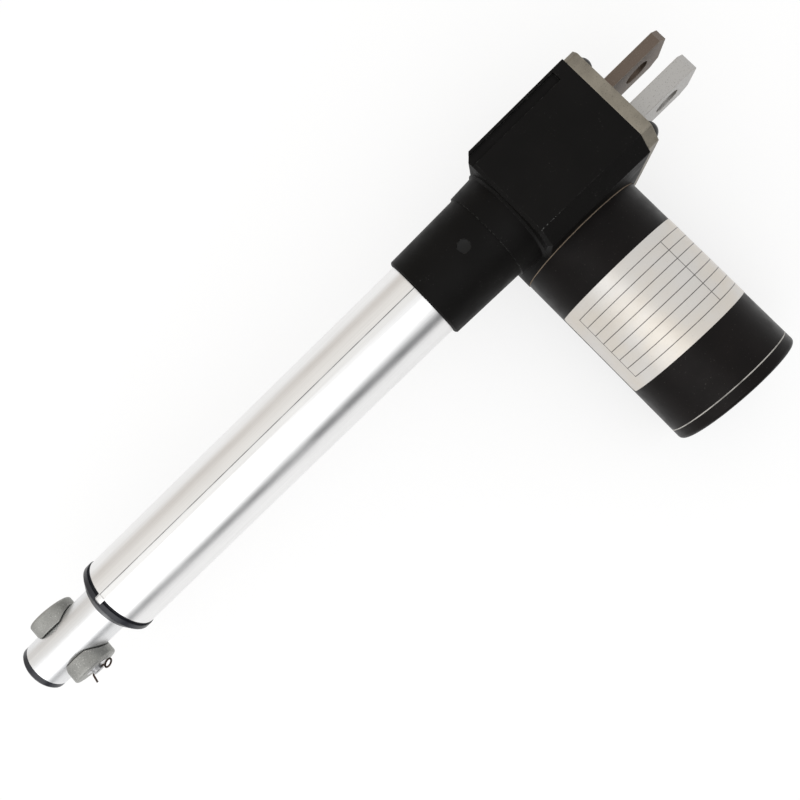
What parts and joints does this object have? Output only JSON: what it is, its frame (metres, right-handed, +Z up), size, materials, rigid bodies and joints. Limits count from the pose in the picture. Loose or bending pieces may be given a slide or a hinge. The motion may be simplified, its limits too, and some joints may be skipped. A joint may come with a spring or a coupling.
{
  "type": "electric linear actuator",
  "caption": "Right-angle electric linear actuator: round motor beside a gear housing, tube with a sliding push rod, rear clevis and pinned rod end.",
  "frame": {"origin": "centre of the rear clevis pin hole, in the middle of the actuator's thickness", "axes": "+X along the tube towards the rod end, +Y along the motor away from the gear housing, +Z up as it lies on its side with the motor under"},
  "size_m": [0.3922, 0.1518, 0.0872],
  "materials": {
    "black_housing": "satin moulded",
    "black_fastener": "black oxide",
    "clevis_casting": "fine cast, bare",
    "anodised_tube": "satin anodised",
    "rod_aluminium": "satin anodised",
    "black_guide": "semi-gloss moulded",
    "saddle_casting": "bead blasted",
    "steel": "turned",
    "rusty_steel": "browned spring steel",
    "black_enamel": "satin black enamel",
    "silver_foil": "printed foil, bare",
    "sealing_rubber": "matt",
    "tan_gasket": "matt fibre",
    "bearing_steel": "ground",
    "bronze": "sintered",
    "white_nylon": "natural",
    "green_board": "lacquered",
    "ferrite": "pressed",
    "carbon": "pressed",
    "copper": "enamelled wire",
    "zinc_flange": "die cast",
    "core_steel": "stacked sheet"
  },
  "bodies": {
    "housing": {"gear_housing": "black_housing", "rear_clevis": "clevis_casting", "clevis_screws": "black_fastener", "outer_tube": "anodised_tube", "tube_lock_screw": "black_fastener", "collar_seal": "sealing_rubber", "front_guide_ring": "black_guide", "wiper_seal": "sealing_rubber", "bearing_block": "zinc_flange", "rear_bearing_outer": "bearing_steel", "front_bearing_outer": "bearing_steel", "switch_strip": "green_board", "limit_switches": "black_guide", "motor_gasket": "tan_gasket", "motor_can": "black_enamel", "motor_label": "silver_foil", "motor_flange": "zinc_flange", "motor_magnets": "ferrite", "brush_card": "white_nylon", "carbon_brushes": "carbon", "motor_end_cap": "black_enamel", "motor_bolts": "black_fastener", "power_inlet": "black_guide", "inlet_pins": "bronze", "shaft_bush": "bronze", "motor_front_bearing_outer": "bearing_steel", "motor_rear_bearing_outer": "bearing_steel"},
    "spindle": {"lead_screw": "steel", "worm_wheel": "white_nylon", "rear_bearing_inner": "bearing_steel", "front_bearing_inner": "bearing_steel", "spindle_lock_nut": "steel", "spindle_clip": "rusty_steel", "spindle_stop": "steel"},
    "armature": {"motor_shaft": "steel", "worm": "steel", "armature_core": "core_steel", "armature_winding": "copper", "insulation_sleeves": "white_nylon", "commutator": "copper", "motor_front_bearing_inner": "bearing_steel", "motor_rear_bearing_inner": "bearing_steel"},
    "rod": {"push_rod": "rod_aluminium", "drive_nut": "white_nylon", "rod_plug": "black_guide", "cross_bush": "bronze", "left_saddle": "saddle_casting", "right_saddle": "saddle_casting", "clevis_pin": "steel", "cotter_pin": "rusty_steel"}
  },
  "joints": [
    {"name": "motor_spin", "type": "hinge", "parent": "housing", "child": "armature", "pos_m": [0.0602, 0, -0.0273], "axis": [0, 1, 0], "range_deg": [0, 213750]},
    {"name": "spindle_spin", "type": "hinge", "parent": "housing", "child": "spindle", "pos_m": [0.2, 0, 0], "axis": [-1, 0, 0], "range_deg": [0, 17100]},
    {"name": "rod_slide", "type": "slide", "parent": "housing", "child": "rod", "axis": [1, 0, 0], "range_m": [0, 0.19]}
  ],
  "couplings": [
    {"joint": "spindle_spin", "follows": "motor_spin", "ratio": 0.08},
    {"joint": "rod_slide", "follows": "motor_spin", "m_per_rad": 0.00005093}
  ]
}
